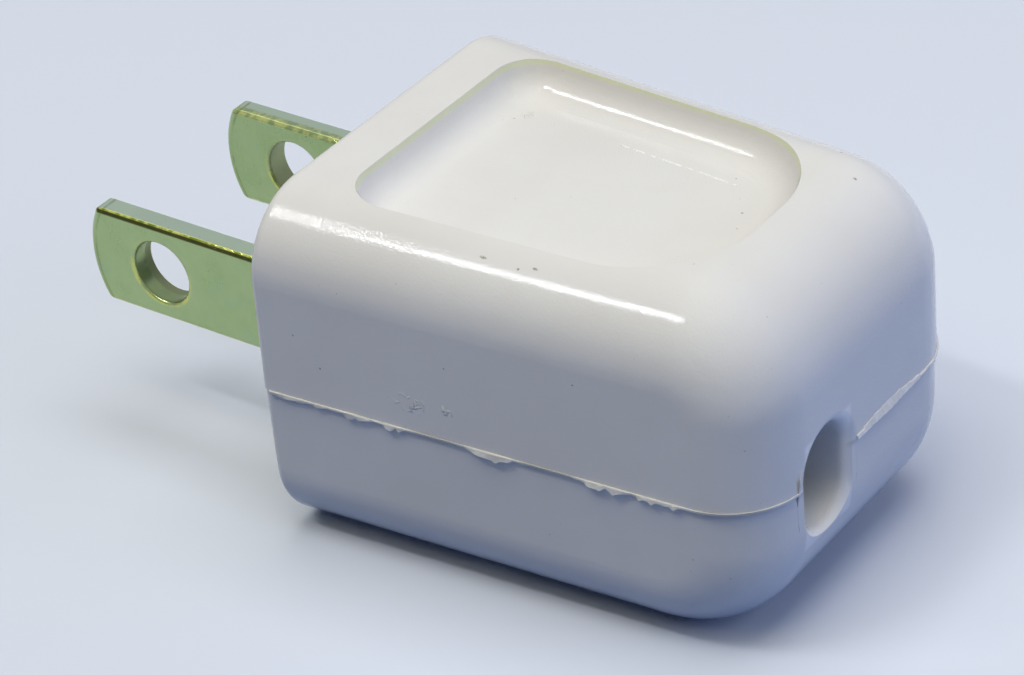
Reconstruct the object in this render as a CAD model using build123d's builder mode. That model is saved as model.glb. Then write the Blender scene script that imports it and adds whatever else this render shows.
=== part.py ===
"""Two-pin plug that is fitted to a flat cord without tools.

Millimetres. X runs across the two blades, Y runs along the plug from the mating
face towards the cord, and Z is up. The origin is the centre of the mating face.
The blades point along -Y and the cord would leave along +Y.
"""
import math
import os

from build123d import *

os.makedirs("parts", exist_ok=True)

# Blades, the part that enters the outlet
blade_spacing = 12.7
blade_thickness = 1.52
blade_height = 6.35
blade_reach = 17.2
blade_hole_radius = 2.0
blade_hole_reach = 11.9
blade_tip_radius = 6.5
blade_tip_corner = 0.5
blade_edge_bevel = 0.22
hole_rim_roll = 0.2

# Blades, the part inside the plug
leg_length = 16.0
ear_length = 1.6
ear_rise = 1.1
ear_corner = 0.3
tooth_place = 10.2
tooth_thickness = 1.3
tooth_height = 2.4
tooth_offset = 1.5
tooth_neck = 2.6
tooth_overlap = 2.1

# Moulded shell, outside
body_length = 31.1
front_half_width = 12.95
side_taper_angle = 4.4
top_height = 10.8
bottom_height = 10.75
seam_height = -0.62
upper_draft_angle = 1.0
lower_draft_angle = 0.4
mould_mismatch = 0.1
upper_end_rounding = 6.3
lower_end_rounding = 7.4
long_edge_rounding = 4.7
front_edge_rounding = 0.6

# Moulding flash round the parting line
flash_thickness = 0.12
flash_width = 0.07

# Thumb recess above, and a smaller finger recess below inside a flat land
recess_front = 3.55
recess_length = 21.9
recess_front_half_width = 8.9
recess_taper_angle = 3.4
recess_depth = 1.9
recess_draft_angle = 18.0
recess_front_corner = 2.6
recess_rear_ratio = 0.87
recess_cove = 1.8
rest_land = 1.5

# Shell, inside
side_wall = 2.1
rear_wall = 3.2
recess_wall = 1.8
cavity_corner = 1.5
mouth_wall = 1.9
mouth_depth = 2.5
mouth_corner = 2.2
rib_length = 17.0
rib_setback = 0.5
rib_lead = 0.6
rib_thickness = 1.3
snap_place = 7.4
snap_width = 8.0
snap_groove_depth = 0.45
snap_groove_length = 1.7

# Cord entry
cord_hole_offset = 4.0
cord_hole_level = -1.5
cord_hole_width = 4.1
cord_hole_height = 6.2
cord_hole_flare = 0.8

# Core that carries the blades
fit_clearance = 0.12
slide_clearance = 0.2
core_length = 19.5
core_corner = 0.8
channel_width = 3.0
channel_height = 5.8
channel_front_wall = 2.2
channel_lead = 0.7
rail_thickness = 1.3
rail_half_width = 8.2
rail_length = 13.4
snap_rise = 0.35
snap_length = 1.2
pocket_width = 6.0
pocket_length = 8.0
pocket_depth = 1.6
pocket_web = 1.1
pocket_place = 13.2

# Sizes that follow from the ones above
blade_centre = blade_spacing / 2
blade_inner = blade_centre - blade_thickness / 2
blade_outer = blade_centre + blade_thickness / 2
blade_half_height = blade_height / 2
side_slope = math.tan(math.radians(side_taper_angle))
recess_slope = math.tan(math.radians(recess_taper_angle))
lower_slope = math.tan(math.radians(lower_draft_angle))
lower_side = front_half_width - mould_mismatch - (bottom_height + seam_height) * lower_slope
lower_flat_half = lower_side - long_edge_rounding - recess_front * side_slope
lower_flat_back = body_length - mould_mismatch - lower_end_rounding
lower_recess_half_width = lower_flat_half - rest_land
lower_recess_length = lower_flat_back - rest_land - recess_front
cavity_end = body_length - rear_wall
cavity_half_height = min(top_height, bottom_height) - recess_depth - recess_wall
mouth_half_width = front_half_width - mould_mismatch - mouth_wall
mouth_half_height = min(top_height, bottom_height) - mouth_wall
rib_inner = blade_outer + fit_clearance
rib_half_height = blade_half_height - slide_clearance
core_half_width = blade_inner - fit_clearance
core_half_height = cavity_half_height - slide_clearance
plate_back = mouth_depth - fit_clearance
slot_half_height = blade_half_height + slide_clearance
ear_back = plate_back + fit_clearance + ear_length
rail_front = ear_back + fit_clearance
channel_front = mouth_depth + channel_front_wall


def tapered_outline(inset, front, back):
    """Draws the plan of the shell between two places along Y, less an inset."""
    front_x = front_half_width - inset - front * side_slope
    back_x = front_half_width - inset - back * side_slope
    with BuildSketch() as outline:
        with BuildLine():
            Polyline(
                (-front_x, front),
                (front_x, front),
                (back_x, back),
                (-back_x, back),
                close=True,
            )
        make_face()
    return outline.sketch


def half_profile(height, length, rounding):
    """Draws the side view of one mould half, out from the parting line."""
    way = math.copysign(1, height)
    flat_end = length - rounding
    round_start = height - way * rounding
    with BuildSketch() as profile:
        with BuildLine():
            Polyline((length, round_start), (length, seam_height), (0, seam_height))
            Polyline((0, seam_height), (0, height), (flat_end, height))
            RadiusArc((flat_end, height), (length, round_start), way * rounding)
        make_face()
    return profile.sketch


def recess_outline(half_width, length):
    """Draws the plan of a recess, narrower and rounder towards the cord end."""
    back = recess_front + length
    back_half = half_width - length * recess_slope
    with BuildSketch() as outline:
        with BuildLine():
            Polyline(
                (-half_width, recess_front),
                (half_width, recess_front),
                (back_half, back),
                (-back_half, back),
                close=True,
            )
        make_face()
        fillet(outline.vertices().group_by(Axis.Y)[0], recess_front_corner)
        rear_corners = outline.vertices().group_by(Axis.Y)[-1]
        fillet(rear_corners, recess_rear_ratio * back_half)
    return outline.sketch


def outer_edges(solid, way):
    """Finds the edges of one mould half that are rounded by the long radius."""
    sides = solid.faces().filter_by(GeomType.PLANE).sort_by(Axis.X)
    edges = ShapeList(sides[0].edges() + sides[-1].edges())
    return edges.filter_by(
        lambda e: e.center().Y > front_edge_rounding
        and way * (e.center().Z - seam_height) > flash_thickness
    )


def front_edges(solid, way):
    """Finds the edges of the mating face that are not on the parting line."""
    face = solid.faces().filter_by(Axis.Y).sort_by(Axis.Y)[0]
    return face.edges().filter_by(
        lambda e: way * (e.center().Z - seam_height) > flash_thickness
    )


# Upper mould half of the shell
with BuildPart() as upper_half:
    with BuildSketch(Plane.XY.offset(seam_height)):
        add(tapered_outline(0, -side_wall, body_length + side_wall))
    extrude(amount=top_height - seam_height, taper=upper_draft_angle)
    with BuildSketch(Plane.YZ):
        add(half_profile(top_height, body_length, upper_end_rounding))
    extrude(amount=2 * front_half_width, both=True, mode=Mode.INTERSECT)
    fillet(outer_edges(upper_half.part, 1), long_edge_rounding)
    fillet(front_edges(upper_half.part, 1), front_edge_rounding)

# Lower mould half, a little smaller all round
with BuildPart() as lower_half:
    with BuildSketch(Plane.XY.offset(seam_height)):
        add(tapered_outline(mould_mismatch, -side_wall, body_length + side_wall))
    extrude(amount=-(bottom_height + seam_height), taper=lower_draft_angle)
    with BuildSketch(Plane.YZ):
        lower_length = body_length - mould_mismatch
        add(half_profile(-bottom_height, lower_length, lower_end_rounding))
    extrude(amount=2 * front_half_width, both=True, mode=Mode.INTERSECT)
    fillet(outer_edges(lower_half.part, -1), long_edge_rounding)
    fillet(front_edges(lower_half.part, -1), front_edge_rounding)

# Space inside the shell
with BuildPart() as cavity:
    with BuildSketch():
        add(tapered_outline(mould_mismatch + side_wall, -side_wall, cavity_end))
    extrude(amount=cavity_half_height, both=True)
    inside_edges = cavity.edges().filter_by(lambda e: e.center().Y > 0)
    fillet(inside_edges, cavity_corner)

# Upper recess, as the block that would fill it
with BuildPart() as upper_recess:
    with BuildSketch(Plane.XY.offset(top_height)):
        add(recess_outline(recess_front_half_width, recess_length))
    extrude(amount=-recess_depth, taper=recess_draft_angle)
    floor_edges = upper_recess.faces().sort_by(Axis.Z)[0].edges()
    fillet(floor_edges, recess_cove)

# Lower recess, as the block that would fill it
with BuildPart() as lower_recess:
    with BuildSketch(Plane.XY.offset(-bottom_height)):
        add(recess_outline(lower_recess_half_width, lower_recess_length))
    extrude(amount=recess_depth, taper=recess_draft_angle)
    floor_edges = lower_recess.faces().sort_by(Axis.Z)[-1].edges()
    fillet(floor_edges, recess_cove)

# Way of the cord through the rear wall, with a rounded mouth
with BuildPart() as cord_way:
    with BuildSketch(Plane.XZ.offset(-body_length)):
        with Locations((cord_hole_offset, cord_hole_level)):
            mouth_growth = 2 * (cord_hole_flare + flash_width)
            SlotOverall(
                cord_hole_height + mouth_growth,
                cord_hole_width + mouth_growth,
                rotation=90,
            )
    extrude(amount=-upper_end_rounding)
    with BuildSketch(Plane.XZ.offset(-body_length)):
        with Locations((cord_hole_offset, cord_hole_level)):
            SlotOverall(cord_hole_height, cord_hole_width, rotation=90)
    extrude(amount=rear_wall + cavity_corner)
    hole_rim = cord_way.faces().filter_by(Axis.Y).sort_by(Axis.Y)[1].inner_wires()
    fillet(hole_rim[0].edges(), cord_hole_flare)

# Shell in one piece
with BuildPart() as shell:
    add(upper_half.part)
    add(lower_half.part)

    # Flash bead that stands out all round the parting line
    with BuildSketch(Plane.XY.offset(seam_height)):
        flash_end = body_length + flash_width
        add(tapered_outline(-flash_width, front_edge_rounding, flash_end))
        fillet(vertices().sort_by(Axis.Y)[2:], long_edge_rounding)
    extrude(amount=flash_thickness / 2, both=True)

    # Recesses above and below
    add(upper_recess.part, mode=Mode.SUBTRACT)
    add(lower_recess.part, mode=Mode.SUBTRACT)

    # Space for the core, with a wider mouth for its front plate
    add(cavity.part, mode=Mode.SUBTRACT)
    with BuildSketch(Plane.XZ):
        RectangleRounded(2 * mouth_half_width, 2 * mouth_half_height, mouth_corner)
    extrude(amount=-mouth_depth, mode=Mode.SUBTRACT)

    # Grooves that the snaps of the core drop into
    with BuildSketch(Plane.YZ):
        with Locations((snap_place, 0)):
            groove_reach = 2 * (cavity_half_height + snap_groove_depth)
            Rectangle(snap_groove_length, groove_reach)
    extrude(amount=snap_width / 2 + slide_clearance, both=True, mode=Mode.SUBTRACT)

    # Ribs that press the blades against the core
    for side in (-1, 1):
        for level in (-1, 1):
            rib_outer = front_half_width - side_wall / 2
            rib_low = level * (rib_half_height - rib_thickness / 2) - rib_thickness / 2
            with BuildSketch(Plane.XY.offset(rib_low)):
                with BuildLine():
                    Polyline(
                        (side * (rib_inner + rib_lead), rib_setback),
                        (side * (rib_outer - rib_setback * side_slope), rib_setback),
                        (side * (rib_outer - rib_length * side_slope), rib_length),
                        (side * rib_inner, rib_length),
                        (side * rib_inner, rib_setback + rib_lead),
                        close=True,
                    )
                make_face()
            extrude(amount=rib_thickness)

    # Cord hole through the rear wall, beside the middle
    add(cord_way.part, mode=Mode.SUBTRACT)

shell.part.label = "shell"

# Core that carries the blades, snapped into the mouth of the shell
with BuildPart() as core:
    with BuildSketch(Plane.XZ):
        RectangleRounded(
            2 * (mouth_half_width - fit_clearance),
            2 * (mouth_half_height - fit_clearance),
            mouth_corner - fit_clearance,
        )
    extrude(amount=-plate_back)
    with BuildSketch(Plane.XZ.offset(-plate_back)):
        Rectangle(2 * core_half_width, 2 * core_half_height)
    extrude(amount=-(core_length - plate_back))
    fillet(core.faces().sort_by(Axis.Y)[-1].edges(), core_corner)

    # Rails beside the blades, which the ears of the blades stand against
    for level in (-1, 1):
        with BuildSketch(Plane.XZ.offset(-rail_front)):
            with Locations((0, level * (slot_half_height + rail_thickness / 2))):
                Rectangle(2 * rail_half_width, rail_thickness)
        extrude(amount=-rail_length)

    # Notches in the front plate that the blades leave through
    for side in (-1, 1):
        with BuildSketch(Plane.XZ):
            notch_width = mouth_half_width - core_half_width
            with Locations((side * (core_half_width + notch_width / 2), 0)):
                Rectangle(notch_width, 2 * slot_half_height)
        extrude(amount=-plate_back, mode=Mode.SUBTRACT)

    # Channel for the flat cord, standing on edge, open at the rear
    with BuildSketch(Plane.XZ.offset(-core_length)):
        Rectangle(channel_width, channel_height)
    extrude(amount=core_length - channel_front, mode=Mode.SUBTRACT)
    with BuildSketch(Plane.XZ.offset(-core_length)):
        Rectangle(channel_width + 2 * channel_lead, channel_height + 2 * channel_lead)
    extrude(amount=channel_lead, taper=45, mode=Mode.SUBTRACT)

    # Windows that the teeth pass through, one high and one low
    for side in (-1, 1):
        with BuildSketch(Plane.YZ.offset(side * core_half_width)):
            with Locations((tooth_place, -side * tooth_offset)):
                Rectangle(
                    tooth_thickness + 2 * slide_clearance,
                    tooth_height + 2 * slide_clearance,
                )
        extrude(amount=-side * core_half_width, mode=Mode.SUBTRACT)

    # Pockets that keep the walls thin, parted by a web
    for level in (-1, 1):
        with BuildSketch(Plane.XY.offset(level * core_half_height)):
            with Locations((0, pocket_place)):
                with GridLocations(pocket_width / 2 + pocket_web / 2, 0, 2, 1):
                    Rectangle((pocket_width - pocket_web) / 2, pocket_length)
        extrude(amount=-level * pocket_depth, mode=Mode.SUBTRACT)

    # Snaps above and below
    for level in (-1, 1):
        with BuildSketch(Plane.YZ):
            with BuildLine():
                Polyline(
                    (snap_place - snap_length / 2, level * core_half_height),
                    (snap_place - snap_rise / 2, level * (core_half_height + snap_rise)),
                    (snap_place + snap_rise / 2, level * (core_half_height + snap_rise)),
                    (snap_place + snap_length / 2, level * core_half_height),
                    close=True,
                )
            make_face()
        extrude(amount=snap_width / 2, both=True)

core.part.label = "core"

# Blade before its hole is punched, on the +X side with its tooth low
with BuildPart() as blade_blank:
    with BuildSketch(Plane.YZ.offset(blade_inner)):
        with Locations(((leg_length - blade_reach) / 2, 0)):
            Rectangle(leg_length + blade_reach, blade_height)
    extrude(amount=blade_thickness)
    with BuildSketch(Plane.YZ.offset(blade_inner)):
        with Locations((blade_tip_radius - blade_reach, 0)):
            Circle(blade_tip_radius)
        with Locations((leg_length / 2, 0)):
            Rectangle(leg_length + 2 * blade_tip_radius, blade_height)
    extrude(amount=blade_thickness, mode=Mode.INTERSECT)

    # Small corners beside the curved tip, then bevels on all the long edges
    tip_corners = blade_blank.edges().filter_by(Axis.X).group_by(Axis.Y)[0]
    fillet(tip_corners, blade_tip_corner)
    leg_end = blade_blank.faces().sort_by(Axis.Y)[-1]
    rims = blade_blank.edges().filter_by(Axis.X, reverse=True)
    bevelled = rims.filter_by(lambda e: e.center().Y < leg_end.center().Y - blade_thickness)
    chamfer(bevelled, blade_edge_bevel)

    # Ears that stand against the back of the front plate
    with BuildSketch(Plane.YZ.offset(blade_inner)):
        with Locations((ear_back - ear_length / 2, 0)):
            Rectangle(ear_length, blade_height + 2 * ear_rise)
            fillet(vertices(), ear_corner)
    extrude(amount=blade_thickness)

    # Tooth folded in through the core to pierce the cord
    tooth_low = -tooth_offset - tooth_height / 2
    tooth_tip = channel_width / 2 - tooth_overlap
    with BuildSketch(Plane.XZ.offset(-(tooth_place - tooth_thickness / 2))):
        with BuildLine():
            Polyline(
                (blade_inner + blade_thickness / 2, tooth_low),
                (blade_inner - tooth_neck, tooth_low),
                (tooth_tip, -tooth_offset),
                (blade_inner - tooth_neck, tooth_low + tooth_height),
                (blade_inner + blade_thickness / 2, tooth_low + tooth_height),
                close=True,
            )
        make_face()
    extrude(amount=-tooth_thickness)

# Blade on the +X side
with BuildPart() as blade_right:
    add(blade_blank.part)
    with BuildSketch(Plane.YZ.offset(blade_outer)):
        with Locations((-blade_hole_reach, 0)):
            Circle(blade_hole_radius)
    extrude(amount=-blade_thickness, mode=Mode.SUBTRACT)
    entry = blade_right.edges().filter_by(GeomType.CIRCLE).group_by(Axis.X)[-1]
    fillet(entry, hole_rim_roll)

blade_right.part.label = "blade_right"

# Blade on the -X side, the same strip turned over, with its tooth high
with BuildPart() as blade_left:
    add(blade_blank.part.rotate(Axis.Y, 180))
    with BuildSketch(Plane.YZ.offset(-blade_inner)):
        with Locations((-blade_hole_reach, 0)):
            Circle(blade_hole_radius)
    extrude(amount=-blade_thickness, mode=Mode.SUBTRACT)
    rims = blade_left.edges().filter_by(GeomType.CIRCLE)
    entry = rims.filter_by(lambda e: e.center().X > -blade_inner - hole_rim_roll)
    fillet(entry, hole_rim_roll)

blade_left.part.label = "blade_left"

for piece in (shell, core, blade_right, blade_left):
    print(piece.part.label, len(piece.solids()), round(piece.part.volume, 2))
    export_step(piece.part, f"parts/{piece.part.label}.step")
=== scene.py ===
"""Two-pin plug on a plain pale floor: finishes, moulding flash, light and camera.

Metres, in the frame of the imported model: X across the blades, Y along the plug
from the mating face towards the cord, Z up.
"""
import math

import bmesh
import bpy
from mathutils import Matrix, Vector


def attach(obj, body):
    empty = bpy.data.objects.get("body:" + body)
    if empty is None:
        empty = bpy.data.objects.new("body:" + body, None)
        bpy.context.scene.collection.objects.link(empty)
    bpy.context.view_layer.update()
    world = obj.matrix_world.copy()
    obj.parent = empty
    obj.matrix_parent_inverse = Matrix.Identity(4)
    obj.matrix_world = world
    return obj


MM = 0.001

# Shell, as the solids have it
SEAM_HEIGHT = -0.62 * MM
FRONT_HALF_WIDTH = 12.95 * MM
BODY_LENGTH = 31.1 * MM
SIDE_TAPER_ANGLE = math.radians(4.4)
BEAD_WIDTH = 0.07 * MM
TOP_HEIGHT = 10.8 * MM
FLOOR_HEIGHT = -10.75 * MM
RECESS_FLOOR = 8.9 * MM
RECESS_FRONT = 3.55 * MM
RECESS_REAR = 25.45 * MM
RECESS_HALF_WIDTH = 8.9 * MM
RECESS_TAPER = math.tan(math.radians(3.4))
CORD_HOLE = (4.0 * MM, 31.1 * MM, -1.5 * MM)
CORD_MOUTH_HALF_WIDTH = 2.92 * MM
CORD_MOUTH_STRETCH = 1.05 * MM
LOWER_HALF_SET_BACK = 0.10 * MM

# Blades, as the solids have them
BLADE_MIDDLE = 6.35 * MM
BLADE_INNER = 5.59 * MM
BLADE_HALF_THICKNESS = 0.76 * MM
BLADE_HALF_HEIGHT = 3.175 * MM
BLADE_HOLE_PLACE = -11.9 * MM
BLADE_HOLE_RADIUS = 2.0 * MM
BLADE_TIP_CENTRE = -10.7 * MM
BLADE_TIP_RADIUS = 6.5 * MM

# Places on the shell, each a centre and a reach along X, Y and Z in mm.
# Dark marks that can be told apart:
PLUG_MARKS = [
    ((9.47, 13.74, 10.2), (0.10, 0.30, 0.6)), ((9.44, 15.94, 10.13), (0.09, 0.13, 0.6)),
    ((9.16, 16.84, 10.25), (0.09, 0.26, 0.6)), ((5.91, 21.85, 10.7), (0.09, 0.09, 0.5)),
    ((5.65, 24.37, 10.5), (0.09, 0.09, 0.6)), ((2.13, 24.06, 10.8), (0.08, 0.08, 0.4)),
    ((-7.75, 14.39, 10.7), (0.09, 0.09, 0.5)), ((-6.02, 27.06, 10.3), (0.12, 0.16, 0.6)),
    ((-7.92, 25.08, 10.6), (0.10, 0.14, 0.6)), ((-4.38, 5.19, 9.3), (0.09, 0.14, 0.5)),
    ((-4.85, 5.6, 9.1), (0.08, 0.10, 0.5)), ((-2.27, 22.27, 8.9), (0.11, 0.11, 0.3)),
    ((-5.12, 20.11, 9.0), (0.08, 0.08, 0.4)), ((4.19, 23.64, 10.7), (0.07, 0.09, 0.5)),
    ((12.6, 4.23, 1.86), (0.6, 0.09, 0.10)), ((12.6, 2.67, 3.59), (0.6, 0.08, 0.09)),
    ((11.2, 20.21, 5.27), (0.9, 0.08, 0.08)), ((12.0, 12.3, 4.1), (0.9, 0.07, 0.07)),
]
# Stretches of the parting line's bead without shine, where its painted highlight gives way to
# painted shade:
UNLIT_BEAD = [
    ((12.0, 11.5, -0.6), (3.0, 2.8, 1.0)), ((11.5, 18.4, -0.6), (3.0, 3.0, 1.0)),
    ((10.5, 29.0, -0.6), (4.0, 3.0, 1.0)),
]
# Scuffed patches on the near side above the parting line, the nick at its front
# end and the lump in the corner of the recess:
SCUFFS = [((12.15, 9.9, 1.2), (2.0, 1.3, 0.7)), ((12.0, 12.1, 1.3), (2.0, 0.8, 0.4))]
NICK = [((12.8, 1.8, -1.0), (2.0, 1.5, 0.35))]
LUMP = [((-5.5, 6.1, 8.9), (0.6, 0.5, 0.5))]


# Node helpers

def new_group(name, inputs, outputs):
    """Starts a node group with named sockets and returns it with its ends."""
    group = bpy.data.node_groups.new(name, "ShaderNodeTree")
    for label, kind, value in inputs:
        socket = group.interface.new_socket(label, in_out="INPUT", socket_type=kind)
        if value is not None:
            socket.default_value = value
    for label, kind in outputs:
        group.interface.new_socket(label, in_out="OUTPUT", socket_type=kind)
    return group, group.nodes.new("NodeGroupInput"), group.nodes.new("NodeGroupOutput")


def add_node(tree, kind, **settings):
    """Adds a node and sets its properties and its unlinked inputs."""
    node = tree.nodes.new(kind)
    for key, value in settings.items():
        if hasattr(node, key):
            setattr(node, key, value)
        else:
            node.inputs[key.replace("_", " ")].default_value = value
    return node


def maths(tree, operation, first, second=None, clamp=False):
    """Adds a Math node fed by sockets or numbers and returns its result."""
    node = tree.nodes.new("ShaderNodeMath")
    node.operation = operation
    node.use_clamp = clamp
    for place, value in enumerate((first, second)):
        if value is None:
            continue
        if isinstance(value, (int, float)):
            node.inputs[place].default_value = value
        else:
            tree.links.new(value, node.inputs[place])
    return node.outputs[0]


def product(tree, first, *others):
    """Multiplies sockets and numbers."""
    for other in others:
        first = maths(tree, "MULTIPLY", first, other)
    return first


def minus(tree, first, second):
    """The difference of two sockets or numbers."""
    return maths(tree, "SUBTRACT", first, second)


def off(tree, value, centre):
    """How far a socket's value lies from a number, to either side."""
    return maths(tree, "ABSOLUTE", minus(tree, value, centre))


def ramp(tree, value, low, high, start=0.0, end=1.0):
    """Maps a socket from low..high to start..end, smooth and clamped."""
    node = tree.nodes.new("ShaderNodeMapRange")
    node.interpolation_type = "SMOOTHSTEP"
    node.inputs["From Min"].default_value = low
    node.inputs["From Max"].default_value = high
    node.inputs["To Min"].default_value = start
    node.inputs["To Max"].default_value = end
    tree.links.new(value, node.inputs["Value"])
    return node.outputs["Result"]


def fade(tree, value, low, high):
    """One below low, nothing above high."""
    return ramp(tree, value, low, high, 1.0, 0.0)


def band(tree, value, rising, falling):
    """A mask that comes up over one span of a socket's value and ends over another."""
    return product(tree, ramp(tree, value, *rising), fade(tree, value, *falling))


def mix_colour(tree, share, first, second):
    """Mixes two colours, each a socket or a tuple, by a socket or a number."""
    node = tree.nodes.new("ShaderNodeMix")
    node.data_type = "RGBA"
    for place, value in ((0, share), (6, first), (7, second)):
        socket = node.inputs[place]
        if isinstance(value, (int, float)):
            socket.default_value = value
        elif isinstance(value, tuple):
            socket.default_value = (*value, 1.0)
        else:
            tree.links.new(value, socket)
    return node.outputs[2]


def noise(tree, vector, scale, detail=3.0, rough=0.5, distortion=0.0):
    """Adds a noise texture of so many cells per metre and returns its value."""
    node = add_node(tree, "ShaderNodeTexNoise", Scale=scale, Detail=detail,
                    Roughness=rough, Distortion=distortion)
    tree.links.new(vector, node.inputs["Vector"])
    return node.outputs["Fac"]


def vector_maths(tree, operation, *values):
    """Adds a Vector Math node fed by sockets or triples and returns it."""
    node = tree.nodes.new("ShaderNodeVectorMath")
    node.operation = operation
    for place, value in enumerate(values):
        if isinstance(value, tuple):
            node.inputs[place].default_value = value
        else:
            tree.links.new(value, node.inputs[place])
    return node


def separate(tree, vector):
    """The X, Y and Z of a vector."""
    node = tree.nodes.new("ShaderNodeSeparateXYZ")
    tree.links.new(vector, node.inputs[0])
    return node.outputs


# Shared effects

def speck_group():
    """Sparse tiny dirt specks, each in its own cell, some left out."""
    group, ends, out = new_group(
        "Specks",
        [("Vector", "NodeSocketVector", None), ("Cells", "NodeSocketFloat", 600.0),
         ("Size", "NodeSocketFloat", 0.1), ("Share", "NodeSocketFloat", 0.1)],
        [("Mask", "NodeSocketFloat")],
    )
    warp = add_node(group, "ShaderNodeTexNoise", Scale=2500.0, Detail=2.0)
    group.links.new(ends.outputs["Vector"], warp.inputs["Vector"])
    warp_reach = (0.25 * MM,) * 3
    push = vector_maths(group, "MULTIPLY_ADD", warp.outputs["Color"], warp_reach,
                        ends.outputs["Vector"])
    cells = add_node(group, "ShaderNodeTexVoronoi", Randomness=1.0)
    group.links.new(push.outputs[0], cells.inputs["Vector"])
    group.links.new(ends.outputs["Cells"], cells.inputs["Scale"])
    sharpness = 30.0
    dot = maths(group, "MULTIPLY", minus(group, ends.outputs["Size"], cells.outputs["Distance"]),
                sharpness, clamp=True)
    split = group.nodes.new("ShaderNodeSeparateColor")
    group.links.new(cells.outputs["Color"], split.inputs["Color"])
    kept = maths(group, "LESS_THAN", split.outputs[0], ends.outputs["Share"])
    shade = ramp(group, split.outputs[1], 0.0, 1.0, 0.25, 1.0)
    group.links.new(product(group, dot, kept, shade), out.inputs["Mask"])
    return group


def hairline_group():
    """Fine hairline marks: stretched noise cut to thin lines and broken up."""
    group, ends, out = new_group(
        "Hairlines",
        [("Vector", "NodeSocketVector", None), ("Cells", "NodeSocketFloat", 300.0),
         ("Stretch", "NodeSocketFloat", 12.0), ("Share", "NodeSocketFloat", 0.5)],
        [("Mask", "NodeSocketFloat")],
    )
    stretch = group.nodes.new("ShaderNodeCombineXYZ")
    group.links.new(ends.outputs["Stretch"], stretch.inputs[0])
    stretch.inputs[1].default_value = 1.0
    group.links.new(ends.outputs["Stretch"], stretch.inputs[2])
    turned = add_node(group, "ShaderNodeMapping", Rotation=(0.5, 0.35, 0.2))
    group.links.new(ends.outputs["Vector"], turned.inputs["Vector"])
    drawn = vector_maths(group, "MULTIPLY", turned.outputs[0], stretch.outputs[0])
    lines = add_node(group, "ShaderNodeTexNoise", Detail=1.0)
    group.links.new(drawn.outputs[0], lines.inputs["Vector"])
    group.links.new(ends.outputs["Cells"], lines.inputs["Scale"])
    thin = fade(group, off(group, lines.outputs["Fac"], 0.5), 0.0, 0.006)
    patches = add_node(group, "ShaderNodeTexNoise", Scale=220.0, Detail=2.0)
    group.links.new(ends.outputs["Vector"], patches.inputs["Vector"])
    least = minus(group, 1.0, ends.outputs["Share"])
    there = ramp(group, minus(group, patches.outputs["Fac"], least), 0.0, 0.08)
    group.links.new(product(group, thin, there), out.inputs["Mask"])
    return group


def spot_group():
    """A soft mask round one point, stretched along the three directions."""
    group, ends, out = new_group(
        "Spot",
        [("Vector", "NodeSocketVector", None), ("Centre", "NodeSocketVector", None),
         ("Reach", "NodeSocketVector", (MM, MM, MM))],
        [("Mask", "NodeSocketFloat")],
    )
    away = vector_maths(group, "SUBTRACT", ends.outputs["Vector"], ends.outputs["Centre"])
    share = vector_maths(group, "DIVIDE", away.outputs[0], ends.outputs["Reach"])
    length = vector_maths(group, "LENGTH", share.outputs[0])
    group.links.new(fade(group, length.outputs["Value"], 0.3, 1.0), out.inputs["Mask"])
    return group


SPECKS = speck_group()
HAIRLINES = hairline_group()
SPOT = spot_group()


def use_group(tree, group, vector, **values):
    """Places a shared effect in a material with that material's own values."""
    node = tree.nodes.new("ShaderNodeGroup")
    node.node_tree = group
    tree.links.new(vector, node.inputs["Vector"])
    for key, value in values.items():
        node.inputs[key].default_value = value
    return node.outputs[0]


def spots(tree, place, places):
    """One mask for a list of places, each a centre and a reach in mm."""
    mask = None
    for centre, reach in places:
        one = use_group(tree, SPOT, place, Centre=tuple(c * MM for c in centre),
                        Reach=tuple(r * MM for r in reach))
        mask = one if mask is None else maths(tree, "MAXIMUM", mask, one)
    return mask


def start_material(name):
    """A new material with its shader and the Object coordinates."""
    material = bpy.data.materials.new(name)
    material.use_nodes = True
    tree = material.node_tree
    shader = tree.nodes["Principled BSDF"]
    place = tree.nodes.new("ShaderNodeTexCoord").outputs["Object"]
    return material, tree, shader, place


def bump_chain(tree, shader, layers):
    """Feeds heights one over another, each with depth and strength, into the normal."""
    last = None
    for height, depth, strength in layers:
        node = add_node(tree, "ShaderNodeBump", Strength=strength, Distance=depth)
        tree.links.new(height, node.inputs["Height"])
        if last is not None:
            tree.links.new(last, node.inputs["Normal"])
        last = node.outputs["Normal"]
    tree.links.new(last, shader.inputs["Normal"])


# Finishes

PLASTIC_IOR = 1.5


def recess_rim(tree, x, y, z):
    """Mask of a thin line on the recess wall, just under its rim, where a highlight is painted."""
    outline = minus(tree, RECESS_HALF_WIDTH + 0.12 * MM,
                    product(tree, minus(tree, y, RECESS_FRONT), RECESS_TAPER))
    within = product(tree, maths(tree, "LESS_THAN", maths(tree, "ABSOLUTE", x), outline),
                     maths(tree, "GREATER_THAN", y, RECESS_FRONT - 0.1 * MM),
                     maths(tree, "LESS_THAN", y, RECESS_REAR))

    # Only surfaces that face into the recess
    facing = separate(tree, tree.nodes.new("ShaderNodeNewGeometry").outputs["Normal"])
    sideways = product(tree, facing[0], maths(tree, "SIGN", x), -1.0)
    recess_middle = 0.5 * (RECESS_FRONT + RECESS_REAR)
    lengthwise = product(tree, facing[1], maths(tree, "SIGN", minus(tree, recess_middle, y)))
    inward = maths(tree, "GREATER_THAN", maths(tree, "MAXIMUM", sideways, lengthwise), 0.25)

    drop = minus(tree, TOP_HEIGHT, z)
    edge = band(tree, drop, (0.015 * MM, 0.04 * MM), (0.22 * MM, 0.48 * MM))
    return product(tree, edge, within, inward)


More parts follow.
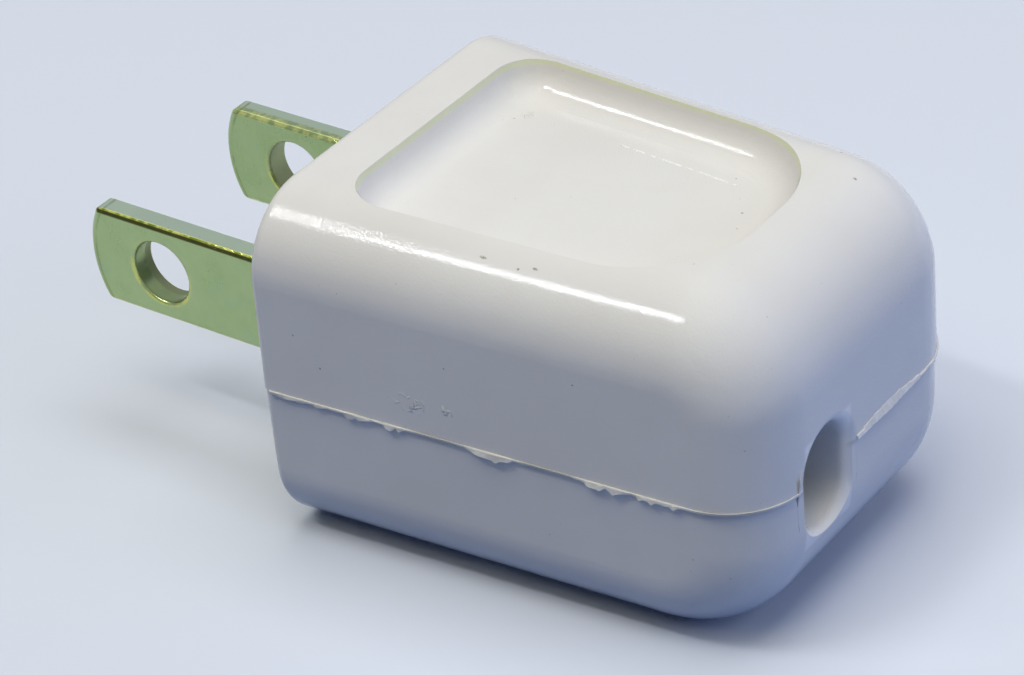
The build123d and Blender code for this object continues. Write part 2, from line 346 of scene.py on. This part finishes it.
def cord_hole_inside(tree, x, y, z):
    """Mask of the walls of the cord hole, from a little behind its mouth."""
    across = fade(tree, off(tree, x, CORD_HOLE[0]), 2.1 * MM, 2.5 * MM)
    upright = fade(tree, off(tree, z, CORD_HOLE[2]), 3.2 * MM, 3.6 * MM)
    return product(tree, across, upright, ramp(tree, y, 20.0 * MM, 24.0 * MM))


def ivory_shell_plastic():
    """Glossy off-white moulded plastic with fine mould grain, specks and scuffs."""
    material, tree, shader, place = start_material("ivory_shell_plastic")
    x, y, z = separate(tree, place)
    ivory, light_ivory = (0.742, 0.730, 0.700), (0.775, 0.768, 0.745)
    handled_ivory, hole_painted_light_ivory = (0.725, 0.700, 0.640), (0.94, 0.92, 0.87)
    scuffed_ivory, rim_highlight_green, seam_shade_and_grime = (0.88, 0.88, 0.86), (0.76, 0.80, 0.50), (0.36, 0.35, 0.33)
    bead_highlight, bead_shade = (0.84, 0.84, 0.82), (0.46, 0.46, 0.45)
    speck_brown, faint_brown = (0.17, 0.11, 0.07), (0.30, 0.22, 0.15)
    mark_brown = (0.22, 0.17, 0.12)

    cloud = noise(tree, place, 90.0, 3.0, 0.55)
    smudge = noise(tree, place, 320.0, 4.0, 0.6, 0.4)
    colour = mix_colour(tree, ramp(tree, cloud, 0.3, 0.7), ivory, light_ivory)
    colour = mix_colour(tree, ramp(tree, smudge, 0.5, 0.8, 0.0, 0.22), colour, handled_ivory)
    # A painted highlight: a thin green-yellow line on the recess wall just under its rim
    colour = mix_colour(tree, product(tree, recess_rim(tree, x, y, z), 0.72), colour, rim_highlight_green)

    # Painted shade with some grime in the corner under the parting line, where the step of the
    # upper half throws shade
    below = minus(tree, SEAM_HEIGHT, z)
    under = band(tree, below, (0.05 * MM, 0.08 * MM), (0.12 * MM, 0.55 * MM))
    patchy = ramp(tree, noise(tree, place, 700.0, 3.0), 0.35, 0.65, 0.45, 1.0)
    colour = mix_colour(tree, product(tree, under, patchy, 0.50), colour, seam_shade_and_grime)

    # The bead along the parting line: a painted highlight, with stretches of painted shade where
    # it catches no light
    bead = fade(tree, maths(tree, "ABSOLUTE", below), 0.055 * MM, 0.075 * MM)
    uneven = ramp(tree, noise(tree, place, 900.0, 3.0, 0.6), 0.35, 0.65, 0.0, 0.4)
    unlit_bead = maths(tree, "MAXIMUM", spots(tree, place, UNLIT_BEAD), uneven)
    colour = mix_colour(tree, bead, colour, mix_colour(tree, unlit_bead, bead_highlight, bead_shade))

    # Painted light inside the cord hole: its walls are painted a lighter ivory
    colour = mix_colour(tree, cord_hole_inside(tree, x, y, z), colour, hole_painted_light_ivory)

    specks = use_group(tree, SPECKS, place, Cells=520.0, Size=0.045, Share=0.30)
    fine = use_group(tree, SPECKS, place, Cells=1300.0, Size=0.075, Share=0.16)
    colour = mix_colour(tree, product(tree, specks, 0.75), colour, speck_brown)
    colour = mix_colour(tree, product(tree, fine, 0.5), colour, faint_brown)
    broken = ramp(tree, noise(tree, place, 6500.0, 1.0), 0.34, 0.50)
    marks = product(tree, spots(tree, place, PLUG_MARKS), broken, 0.75)
    colour = mix_colour(tree, marks, colour, mark_brown)

    hair = use_group(tree, HAIRLINES, place, Cells=260.0, Stretch=9.0, Share=0.38)
    rough = maths(tree, "ADD", ramp(tree, smudge, 0.25, 0.75, 0.09, 0.135),
                  product(tree, hair, 0.12))
    tree.links.new(rough, shader.inputs["Roughness"])

    scuff_grain = ramp(tree, noise(tree, place, 2100.0, 2.0, 0.4, 1.4), 0.52, 0.60)
    scuffs = product(tree, scuff_grain, spots(tree, place, SCUFFS))
    nick_grain = ramp(tree, noise(tree, place, 1800.0, 2.0, 0.5, 0.8), 0.42, 0.55)
    nick = product(tree, nick_grain, spots(tree, place, NICK))
    lump_grain = ramp(tree, noise(tree, place, 3200.0, 2.0, 0.5), 0.4, 0.6)
    lump = product(tree, lump_grain, spots(tree, place, LUMP))
    worn = product(tree, maths(tree, "MAXIMUM", scuffs, nick), 0.30)
    tree.links.new(mix_colour(tree, worn, colour, scuffed_ivory), shader.inputs["Base Color"])

    bump_chain(tree, shader, [
        (noise(tree, place, 1100.0, 2.0, 0.45), 0.020 * MM, 0.20),
        (noise(tree, place, 6200.0, 2.0, 0.55), 0.015 * MM, 0.65),
        (hair, -0.006 * MM, 0.4),
        (specks, 0.02 * MM, 0.4),
        (scuffs, 0.07 * MM, 1.0),
        (nick, 0.06 * MM, 0.8),
        (lump, 0.06 * MM, 0.9),
    ])
    shader.inputs["IOR"].default_value = PLASTIC_IOR
    return material


def thin_flash_plastic(name, darker, lighter, dirt_share):
    """Thin plastic of flash and fine ridges: uneven and with small glints from its bumps; where
    its colours are pale, they are painted light that the thin plastic catches.
    """
    material, tree, shader, place = start_material(name)
    dirty_ivory = (0.52, 0.50, 0.46)
    cloud = noise(tree, place, 900.0, 3.0, 0.6)
    colour = mix_colour(tree, ramp(tree, cloud, 0.3, 0.7), darker, lighter)
    dirt = ramp(tree, noise(tree, place, 420.0, 4.0, 0.65), 0.54, 0.72, 0.0, dirt_share)
    tree.links.new(mix_colour(tree, dirt, colour, dirty_ivory), shader.inputs["Base Color"])
    tree.links.new(ramp(tree, cloud, 0.3, 0.7, 0.10, 0.28), shader.inputs["Roughness"])
    bump_chain(tree, shader, [
        (noise(tree, place, 2600.0, 3.0, 0.6, 0.6), 0.045 * MM, 0.8),
        (noise(tree, place, 7000.0, 2.0), 0.012 * MM, 0.6),
    ])
    shader.inputs["IOR"].default_value = PLASTIC_IOR
    return material


def core_plastic():
    """Duller off-white plastic of the insert, with knit lines and fine grain."""
    material, tree, shader, place = start_material("core_plastic")
    buff, light_buff = (0.640, 0.615, 0.565), (0.700, 0.680, 0.630)
    knit_buff, speck_brown = (0.52, 0.49, 0.43), (0.22, 0.16, 0.11)
    cloud = noise(tree, place, 130.0, 3.0, 0.55)
    colour = mix_colour(tree, ramp(tree, cloud, 0.3, 0.7), buff, light_buff)
    line = fade(tree, off(tree, noise(tree, place, 60.0, 1.0, 0.3, 1.5), 0.5), 0.0, 0.004)
    colour = mix_colour(tree, product(tree, line, 0.2), colour, knit_buff)
    specks = use_group(tree, SPECKS, place, Cells=500.0, Size=0.05, Share=0.15)
    colour = mix_colour(tree, product(tree, specks, 0.6), colour, speck_brown)
    tree.links.new(colour, shader.inputs["Base Color"])
    hair = use_group(tree, HAIRLINES, place, Cells=300.0, Stretch=8.0, Share=0.45)
    rough = maths(tree, "ADD", ramp(tree, noise(tree, place, 420.0), 0.3, 0.7, 0.36, 0.48),
                  product(tree, hair, 0.1))
    tree.links.new(rough, shader.inputs["Roughness"])
    bump_chain(tree, shader, [
        (noise(tree, place, 3800.0, 2.0), 0.010 * MM, 0.4),
        (hair, -0.006 * MM, 0.4),
        (line, -0.006 * MM, 0.4),
    ])
    shader.inputs["IOR"].default_value = PLASTIC_IOR
    return material


def rolled_brass():
    """Greenish brass strip: rolled faces, punched edges with a painted sheen, worn bevels with
    painted glints and highlights, and hole rims.
    """
    material, tree, shader, place = start_material("rolled_brass")
    x, y, z = separate(tree, place)
    green_brass, light_brass = (0.355, 0.476, 0.225), (0.43, 0.545, 0.27)
    bluish_brass, cut_edge_and_sheen_brass = (0.33, 0.48, 0.33), (0.74, 0.86, 0.64)
    bevel_yellow, pressed_dark = (0.72, 0.70, 0.22), (0.07, 0.07, 0.015)
    dull_yellow, bright_yellow = (0.42, 0.50, 0.02), (0.95, 0.98, 0.25)
    mottle_dark, mottle_light = (0.42, 0.52, 0.20), (0.78, 0.84, 0.30)
    tip_dark, rim_yellow, torn_grey = (0.16, 0.19, 0.06), (0.72, 0.70, 0.14), (0.42, 0.42, 0.26)
    stain_brown, pit_brown = (0.16, 0.15, 0.08), (0.22, 0.20, 0.10)

    cloud = noise(tree, place, 260.0, 4.0, 0.6, 0.3)
    colour = mix_colour(tree, ramp(tree, cloud, 0.3, 0.72), green_brass, light_brass)
    bluish = ramp(tree, noise(tree, place, 520.0, 3.0, 0.6, 0.6), 0.52, 0.75, 0.0, 0.35)
    colour = mix_colour(tree, bluish, colour, bluish_brass)

    def under_edge(height, lower, upper, start=0.0, end=1.0):
        """A mask that changes between two distances, in mm, under the long edge."""
        return ramp(tree, height, BLADE_HALF_HEIGHT - lower * MM, BLADE_HALF_HEIGHT - upper * MM,
                    start, end)

    # Bevels and cut edges, by the distance from the blade's middle plane and the height
    spread = off(tree, maths(tree, "ABSOLUTE", x), BLADE_MIDDLE)
    rise = maths(tree, "ABSOLUTE", z)
    beside_edge = ramp(tree, spread, BLADE_HALF_THICKNESS - 0.26 * MM,
                       BLADE_HALF_THICKNESS - 0.20 * MM)
    bevel = product(tree, under_edge(rise, 0.26, 0.20), beside_edge)
    cut_edge = under_edge(rise, 0.04, 0.01)
    # Pale top and bottom cut edges: partly paler cut brass, partly a painted reflection of the
    # light overhead
    colour = mix_colour(tree, cut_edge, colour, cut_edge_and_sheen_brass)
    # Yellow on the bevels: partly worn brass, partly painted glints where the noise is bright
    bright = noise(tree, place, 1600.0, 3.0, 0.6)
    worn_and_glinting_bevel = product(tree, bevel, ramp(tree, bright, 0.35, 0.6))
    colour = mix_colour(tree, worn_and_glinting_bevel, colour, bevel_yellow)

    # The right blade's top bevel was pressed: a dark line under a thin yellow line, which is a
    # painted highlight with glints
    beside_face = product(tree, maths(tree, "GREATER_THAN", x, 0.0),
                          ramp(tree, spread, 0.48 * MM, 0.60 * MM))
    low = product(tree, under_edge(z, 0.34, 0.26), under_edge(z, 0.12, 0.07, 1.0, 0.0),
                  beside_face)
    colour = mix_colour(tree, product(tree, low, 0.93), colour, pressed_dark)
    high = product(tree, under_edge(z, 0.12, 0.07), under_edge(z, 0.02, 0.0, 1.0, 0.0),
                   beside_face)
    highlight_line_yellow = mix_colour(tree, ramp(tree, bright, 0.4, 0.6), dull_yellow, bright_yellow)
    colour = mix_colour(tree, high, colour, highlight_line_yellow)

    # The left blade's top edge is rolled over more widely, with yellow-green mottling
    inner_side = ramp(tree, minus(tree, x, -BLADE_INNER), -0.75 * MM, -0.45 * MM)
    wide = product(tree, under_edge(rise, 0.30, 0.22), inner_side,
                   maths(tree, "LESS_THAN", x, 0.0), 0.75)
    mottle = mix_colour(tree, ramp(tree, bright, 0.38, 0.62), mottle_dark, mottle_light)
    colour = mix_colour(tree, wide, colour, mottle)

    def away_from(centre):
        """Distance from an axis across the blades, at height nought."""
        along = minus(tree, y, centre)
        squares = [maths(tree, "POWER", side, 2.0) for side in (along, z)]
        return maths(tree, "SQRT", maths(tree, "ADD", *squares))

    # Worn line along the rounded tip
    from_line = off(tree, away_from(BLADE_TIP_CENTRE), BLADE_TIP_RADIUS - 0.45 * MM)
    tip_line = product(tree, fade(tree, from_line, 0.0, 0.12 * MM),
                       ramp(tree, y, -14.0 * MM, -14.5 * MM),
                       ramp(tree, noise(tree, place, 600.0), 0.42, 0.58, 0.05, 0.50))
    colour = mix_colour(tree, tip_line, colour, tip_dark)

    # Punched hole: worn yellow rim, and a torn matt band inside at the inner face
    ring = away_from(BLADE_HOLE_PLACE)
    in_hole = fade(tree, ring, BLADE_HOLE_RADIUS + 0.02 * MM, BLADE_HOLE_RADIUS + 0.06 * MM)
    depth = minus(tree, x, BLADE_INNER)
    torn_band = product(tree, in_hole, fade(tree, depth, 0.45 * MM, 0.60 * MM))
    rim = product(tree, fade(tree, off(tree, ring, BLADE_HOLE_RADIUS + 0.15 * MM), 0.0, 0.22 * MM),
                  ramp(tree, z, -0.4 * MM, 1.0 * MM, 1.0, 0.12),
                  ramp(tree, noise(tree, place, 1100.0, 2.0), 0.36, 0.58, 0.25, 1.0))
    colour = mix_colour(tree, product(tree, rim, 0.7), colour, rim_yellow)
    colour = mix_colour(tree, product(tree, torn_band, 0.6), colour, torn_grey)

    stains = use_group(tree, SPECKS, place, Cells=900.0, Size=0.07, Share=0.16)
    pits = use_group(tree, SPECKS, place, Cells=2200.0, Size=0.10, Share=0.14)
    colour = mix_colour(tree, product(tree, stains, 0.55), colour, stain_brown)
    colour = mix_colour(tree, product(tree, pits, 0.4), colour, pit_brown)
    tree.links.new(colour, shader.inputs["Base Color"])

    # Rolling lines along the strip
    stretched = add_node(tree, "ShaderNodeMapping", Scale=(1.0, 0.05, 1.0))
    tree.links.new(place, stretched.inputs["Vector"])
    rolling = noise(tree, stretched.outputs[0], 5200.0, 3.0, 0.6)
    hair = use_group(tree, HAIRLINES, place, Cells=240.0, Stretch=10.0, Share=0.5)
    rough = ramp(tree, cloud, 0.25, 0.75, 0.24, 0.36)
    burnished = maths(tree, "MAXIMUM", bevel, rim)
    for mask, change in ((stains, 0.25), (torn_band, 0.25), (burnished, -0.10), (cut_edge, 0.22)):
        rough = maths(tree, "ADD", rough, product(tree, mask, change))
    tree.links.new(rough, shader.inputs["Roughness"])
    shader.inputs["Metallic"].default_value = 1.0
    pulled_in = ramp(tree, ring, BLADE_HOLE_RADIUS + 0.10 * MM, BLADE_HOLE_RADIUS + 0.75 * MM)
    bump_chain(tree, shader, [
        (pulled_in, 0.10 * MM, 0.8),
        (rolling, 0.003 * MM, 0.35),
        (noise(tree, place, 1500.0, 3.0), 0.010 * MM, 0.25),
        (hair, -0.006 * MM, 0.5),
        (product(tree, noise(tree, place, 4200.0, 3.0), torn_band), 0.03 * MM, 0.7),
        (stains, -0.01 * MM, 0.5),
    ])
    return material


# New pieces

def deselect_all():
    """Leaves nothing selected and no object active."""
    for o in bpy.context.selected_objects:
        o.select_set(False)
    bpy.context.view_layer.objects.active = None


def pick(piece, test, kind="VERT"):
    """Selects the vertices or edges of the edited mesh that pass a test."""
    bpy.ops.mesh.select_mode(type=kind)
    bpy.ops.mesh.select_all(action="DESELECT")
    mesh = bmesh.from_edit_mesh(piece.data)
    for part in {"VERT": mesh.verts, "EDGE": mesh.edges}[kind]:
        part.select_set(bool(test(part)))
    mesh.select_flush_mode()
    bmesh.update_edit_mesh(piece.data)


def span(edge, axis):
    """How far an edge reaches along an axis."""
    return abs(edge.verts[0].co[axis] - edge.verts[1].co[axis])


def start_block(name, size):
    """A cube stretched to a block round the origin and left open for editing."""
    deselect_all()
    bpy.ops.mesh.primitive_cube_add(size=1.0, location=(0, 0, 0))
    piece = bpy.context.object
    piece.name = name
    bpy.ops.object.mode_set(mode="EDIT")
    bpy.ops.mesh.select_all(action="SELECT")
    bpy.ops.transform.resize(value=size)
    return piece


def divide_along(piece, axis, cuts):
    """Cuts the long edges that run along one axis, all in the same places."""
    pick(piece, lambda e: span(e, axis) > MM, "EDGE")
    bpy.ops.mesh.subdivide(number_cuts=cuts)


def shift(piece, test, move):
    """Moves the vertices whose place passes a test."""
    pick(piece, lambda v: test(v.co))
    bpy.ops.transform.translate(value=move)


def roughen(piece, test, reach, seed):
    """Makes the vertices whose place passes a test uneven."""
    pick(piece, lambda v: test(v.co))
    bpy.ops.transform.vertex_random(offset=reach, uniform=0.0, normal=0.0, seed=seed)


def swell(piece, axis, centre, half_length, side, move):
    """Draws a smooth bulge out of one side, in steps that grow towards its middle."""
    shares = (1.0, 0.72, 0.42, 0.2)
    for share in shares:
        shift(piece,
              lambda c: abs(c[axis] - centre) < half_length * share and side(c),
              tuple(m / len(shares) for m in move))


def set_in_place(move, turn=0.0):
    """Turns the whole edited mesh about the upright axis and moves it."""
    bpy.ops.mesh.select_all(action="SELECT")
    if turn:
        bpy.ops.transform.rotate(value=turn, orient_axis="Z", center_override=(0, 0, 0))
    bpy.ops.transform.translate(value=move)


def close_piece(piece, finish, angle=50.0):
    """Faces outwards, smooth shading, finish and body."""
    bpy.ops.mesh.select_mode(type="FACE")
    bpy.ops.mesh.select_all(action="SELECT")
    bpy.ops.mesh.normals_make_consistent(inside=False)
    bpy.ops.object.mode_set(mode="OBJECT")
    deselect_all()
    piece.select_set(True)
    bpy.context.view_layer.objects.active = piece
    bpy.ops.object.transform_apply(location=True, rotation=True, scale=True)
    bpy.ops.object.shade_smooth_by_angle(angle=math.radians(angle))
    piece.data.materials.append(finish)
    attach(piece, "root")
    deselect_all()


def near_flash(finish):
    """Ragged flash along the parting line of the near side, with tongues that hang down."""
    width, length, thickness, middle = 0.24 * MM, 25.8 * MM, 0.09 * MM, 13.6 * MM
    sunk = 0.09 * MM
    piece = start_block("near_flash", (width, length, thickness))
    bpy.ops.transform.translate(value=(0, middle, 0))
    divide_along(piece, 1, 190)
    roughen(piece, lambda c: c.x > 0, 0.035 * MM, 4)

    # Middle, half length, drop and stand-off of each tongue, in mm
    tongues = [
        (1.9, 1.2, 0.10, 0.03), (3.9, 0.35, 0.08, 0.06), (5.95, 0.24, 0.44, 0.14),
        (6.7, 0.4, 0.12, 0.10), (8.5, 0.36, 0.24, 0.14), (9.15, 0.22, 0.14, 0.10),
        (11.2, 0.5, 0.04, 0.04), (13.9, 0.45, 0.14, 0.12), (14.6, 0.50, 0.26, 0.18),
        (15.3, 0.45, 0.30, 0.17), (15.9, 0.35, 0.18, 0.10), (18.3, 0.4, 0.04, 0.03),
        (20.9, 0.30, 0.16, 0.12), (21.5, 0.50, 0.22, 0.18), (22.4, 0.40, 0.24, 0.16),
        (23.0, 0.25, 0.12, 0.10), (24.0, 0.30, 0.12, 0.10), (24.7, 0.30, 0.16, 0.14),
        (25.4, 0.25, 0.08, 0.08), (26.0, 0.30, 0.14, 0.12),
    ]
    for centre, half_length, drop, stand_off in tongues:
        where = (piece, 1, centre * MM, half_length * MM)
        swell(*where, lambda c: c.z < 0, (0, 0, -drop * MM))
        swell(*where, lambda c: c.z < 0 < c.x, (stand_off * MM, 0, 0))
        swell(*where, lambda c: c.z > -0.03 * MM and c.x > 0, (0.25 * stand_off * MM, 0, 0))
    roughen(piece, lambda c: c.z < -0.12 * MM and c.x > 0, 0.05 * MM, 7)

    # Two stretches where the flash is worn off
    for centre, half_length in ((11.5, 1.9), (18.4, 2.2)):
        swell(piece, 1, centre * MM, half_length * MM, lambda c: c.x > 0, (-0.09 * MM, 0, 0))

    set_in_place((FRONT_HALF_WIDTH + BEAD_WIDTH - sunk, 0, SEAM_HEIGHT), -SIDE_TAPER_ANGLE)
    close_piece(piece, finish)


def rear_flash(finish):
    """Thick ridge of flash across the rear, from the cord hole to the far corner."""
    length, width, thickness = 8.3 * MM, 0.26 * MM, 0.12 * MM
    place, sunk, lift = -2.95 * MM, 0.08 * MM, 0.02 * MM
    piece = start_block("rear_flash", (length, width, thickness))
    divide_along(piece, 0, 80)
    roughen(piece, lambda c: c.y > 0, 0.03 * MM, 9)
    thick = (piece, 0, 0.9 * MM, 3.4 * MM)
    swell(*thick, lambda c: c.z > 0, (0, 0, 0.34 * MM))
    swell(piece, 0, 2.4 * MM, 0.9 * MM, lambda c: c.z > 0, (0, 0, 0.08 * MM))
    swell(piece, 0, -0.4 * MM, 0.7 * MM, lambda c: c.z > 0, (0, 0, 0.08 * MM))

    # Its outer face leans back, so that it looks up
    swell(*thick, lambda c: c.z > 0 and c.y > 0, (0, -0.10 * MM, 0))
    swell(*thick, lambda c: c.z < 0 < c.y, (0, 0.08 * MM, 0))
    shift(piece, lambda c: c.x < -3.2 * MM and c.y > 0, (0, -0.05 * MM, 0))

    set_in_place((place, BODY_LENGTH + BEAD_WIDTH - sunk, SEAM_HEIGHT + lift))
    close_piece(piece, finish)


def cord_mouth_lip(finish):
    """Thin lip of flash round the mouth of the cord hole, curled up on one side."""
    deselect_all()
    bpy.ops.mesh.primitive_torus_add(location=CORD_HOLE, rotation=(math.radians(90), 0, 0),
                                     major_radius=CORD_MOUTH_HALF_WIDTH, minor_radius=0.04 * MM,
                                     major_segments=120, minor_segments=8)
    piece = bpy.context.object
    piece.name = "cord_mouth_lip"
    bpy.ops.object.transform_apply(location=True, rotation=True, scale=True)
    bpy.ops.object.mode_set(mode="EDIT")
    side, _, middle_height = CORD_HOLE
    shift(piece, lambda c: c.z > middle_height + 0.01 * MM, (0, 0, CORD_MOUTH_STRETCH))
    shift(piece, lambda c: c.z < middle_height - 0.01 * MM, (0, 0, -CORD_MOUTH_STRETCH))
    shift(piece, lambda c: True, (0, -0.03 * MM, 0))
    roughen(piece, lambda c: True, 0.03 * MM, 12)

    # The lip lies on the surface: the lower half is set back and curves away below
    shift(piece, lambda c: c.z < SEAM_HEIGHT, (0, -LOWER_HALF_SET_BACK, 0))
    for step in range(7):
        shift(piece, lambda c: c.z < (-3.4 - 0.3 * step) * MM,
              (0, -0.0065 * (2 * step + 1) * MM, 0))
    for start in (2.3, 2.7):
        shift(piece, lambda c: c.x > side + start * MM, (0, -0.03 * MM, 0))

    # The curl beside the parting line
    swell(piece, 2, 0.1 * MM, 0.6 * MM,
          lambda c: c.x > side + MM and c.y > BODY_LENGTH - 0.09 * MM,
          (0.16 * MM, 0.15 * MM, 0))

    # Above the parting line the lip dives under the surface
    for rise in range(6):
        shift(piece, lambda c: c.z > (0.75 + 0.12 * rise) * MM, (0, -0.07 * MM, 0))
        shift(piece, lambda c: c.x < side and c.z > (-0.7 + 0.12 * rise) * MM,
              (0, -0.07 * MM, 0))
    close_piece(piece, finish, 180.0)


def floor_crease(finish):
    """Fine raised line on the recess floor beside the far cove, broken in places."""
    width, length, thickness = 0.15 * MM, 8.0 * MM, 0.10 * MM
    place, sunk, turn = (-4.85 * MM, 16.6 * MM), 0.01 * MM, math.radians(4.6)
    piece = start_block("floor_crease", (width, length, thickness))
    divide_along(piece, 1, 70)
    pick(piece, lambda e: span(e, 1) > 0.05 * MM and sum(v.co.z for v in e.verts) > 0, "EDGE")
    bpy.ops.mesh.bevel(offset=0.06 * MM, segments=3)
    roughen(piece, lambda c: c.z > 0, 0.012 * MM, 5)
    for gap in (-3.3, -2.2, -1.5, 0.3, 1.1, 3.5):
        swell(piece, 1, gap * MM, 0.28 * MM, lambda c: c.z > 0, (0, 0, -0.07 * MM))
    set_in_place((*place, RECESS_FLOOR - sunk), turn)
    close_piece(piece, finish)


# Studio

def pale_backdrop():
    """Floor and sky that look pale and throw a darker, bluer light on the plug."""
    deselect_all()
    bpy.ops.mesh.primitive_plane_add(size=3.0, location=(0, 0, FLOOR_HEIGHT))
    floor = bpy.context.object
    floor.name = "floor"
    material, tree, shader, _ = start_material("pale_floor")
    path = tree.nodes.new("ShaderNodeLightPath")
    shown = maths(tree, "MAXIMUM", path.outputs["Is Camera Ray"], path.outputs["Is Glossy Ray"])
    bounced, seen = (0.125, 0.20, 0.43), (0.70, 0.75, 0.85)
    tree.links.new(mix_colour(tree, shown, bounced, seen), shader.inputs["Base Color"])
    shader.inputs["Roughness"].default_value = 0.8
    floor.data.materials.append(material)

    world = bpy.data.worlds.new("sky")
    bpy.context.scene.world = world
    world.use_nodes = True
    tree = world.node_tree
    back = tree.nodes["Background"]
    path = tree.nodes.new("ShaderNodeLightPath")
    shown = maths(tree, "MAXIMUM", path.outputs["Is Camera Ray"],
                  product(tree, path.outputs["Is Glossy Ray"], 0.55))
    bounced, seen = (0.010, 0.012, 0.018), (0.70, 0.75, 0.86)
    tree.links.new(mix_colour(tree, shown, bounced, seen), back.inputs["Color"])
    back.inputs["Strength"].default_value = 1.0


def lamp(name, towards, distance, size, power, colour, in_gloss=False, in_shade=True):
    """An area lamp that looks at the plug, its second side in line with Y.

    With in_gloss it shows in gloss, and with in_shade it lights the surfaces.
    """
    facing = Vector(towards).normalized()
    across = Vector((0, 1, 0)).cross(facing).normalized()
    target = Vector((0, 12.0 * MM, 0))
    bpy.ops.object.light_add(type="AREA", location=target + facing * distance)
    light = bpy.context.object
    light.name = name
    light.data.shape = "RECTANGLE"
    light.data.size, light.data.size_y = size
    light.data.energy = power
    light.data.color = colour
    light.visible_glossy = in_gloss
    light.visible_diffuse = in_shade
    light.rotation_euler = Matrix((across, facing.cross(across), facing)).transposed().to_euler()


def lamps():
    """Broad lamp overhead, weaker ones round the plug and two narrow ones for the highlights."""
    lamp("overhead_softbox", (0.0, 0.05, 1.0), 0.75, (0.60, 0.60), 3.70, (0.98, 0.98, 1.0))
    lamp("near_softbox", (0.50, 0.0, 1.0), 0.75, (0.45, 0.45), 1.15, (1.0, 0.90, 0.55))
    lamp("far_softbox", (-1.0, 0.1, 0.30), 0.75, (0.45, 0.30), 0.90, (1.0, 0.97, 0.92))
    lamp("rear_softbox", (-0.1, 1.0, 0.75), 0.75, (0.45, 0.45), 1.0, (0.86, 0.94, 1.0))
    lamp("low_rear_softbox", (-0.4, 1.0, 0.25), 0.75, (0.45, 0.30), 0.85, (0.10, 0.26, 1.0))
    lamp("long_lamp", (0.415, -0.325, 0.85), 0.60, (0.034, 0.235), 0.65, (0.95, 0.96, 1.0),
         in_gloss=True)
    lamp("cove_lamp", (0.163, -0.374, 0.515), 0.657, (0.060, 0.078), 0.38, (0.97, 0.98, 1.0),
         in_gloss=True, in_shade=False)
    deselect_all()


def viewpoint():
    """Camera where the photograph was taken from."""
    data = bpy.data.cameras.new("viewpoint")
    camera = bpy.data.objects.new("viewpoint", data)
    bpy.context.scene.collection.objects.link(camera)
    data.sensor_width = 36.0
    data.lens = 125.311
    data.clip_start, data.clip_end = 0.01, 20.0
    place = (133.09 * MM, 111.37 * MM, 109.25 * MM)
    right, nearly_up = Vector((-0.5719, 0.8168, -0.0761)), Vector((-0.4898, -0.2656, 0.8304))
    right.normalize()
    back = right.cross(nearly_up).normalized()
    turn = Matrix((right, back.cross(right), back)).transposed()
    camera.matrix_world = Matrix.Translation(place) @ turn.to_4x4()
    bpy.context.scene.camera = camera


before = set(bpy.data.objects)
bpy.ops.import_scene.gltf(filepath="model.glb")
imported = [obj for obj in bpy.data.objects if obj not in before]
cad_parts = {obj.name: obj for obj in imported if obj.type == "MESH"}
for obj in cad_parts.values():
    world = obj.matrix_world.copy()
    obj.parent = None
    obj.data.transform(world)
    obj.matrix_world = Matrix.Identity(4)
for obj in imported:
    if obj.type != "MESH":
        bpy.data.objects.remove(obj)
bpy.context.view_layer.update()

finishes = {"shell": ivory_shell_plastic(), "core": core_plastic()}
finishes["blade_right"] = finishes["blade_left"] = rolled_brass()
for name, finish in finishes.items():
    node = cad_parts[name]
    node.data.materials.clear()
    node.data.materials.append(finish)

near_flash(thin_flash_plastic("torn_flash_plastic", (0.56, 0.56, 0.54), (0.78, 0.78, 0.76), 0.60))
# The rear flash's pale cream colours are painted light on the thin ridge
rear_flash(thin_flash_plastic("cream_painted_light_flash_plastic", (0.80, 0.78, 0.72), (0.93, 0.91, 0.86), 0.20))
cord_mouth_lip(finishes["shell"])
# The ridge's near-white colours are a painted highlight along the crease on the recess floor
floor_crease(thin_flash_plastic("ridge_highlight_plastic", (0.88, 0.88, 0.86), (0.96, 0.96, 0.95),
                                0.10))

pale_backdrop()
lamps()
viewpoint()

scene = bpy.context.scene
scene.view_settings.view_transform = "Standard"
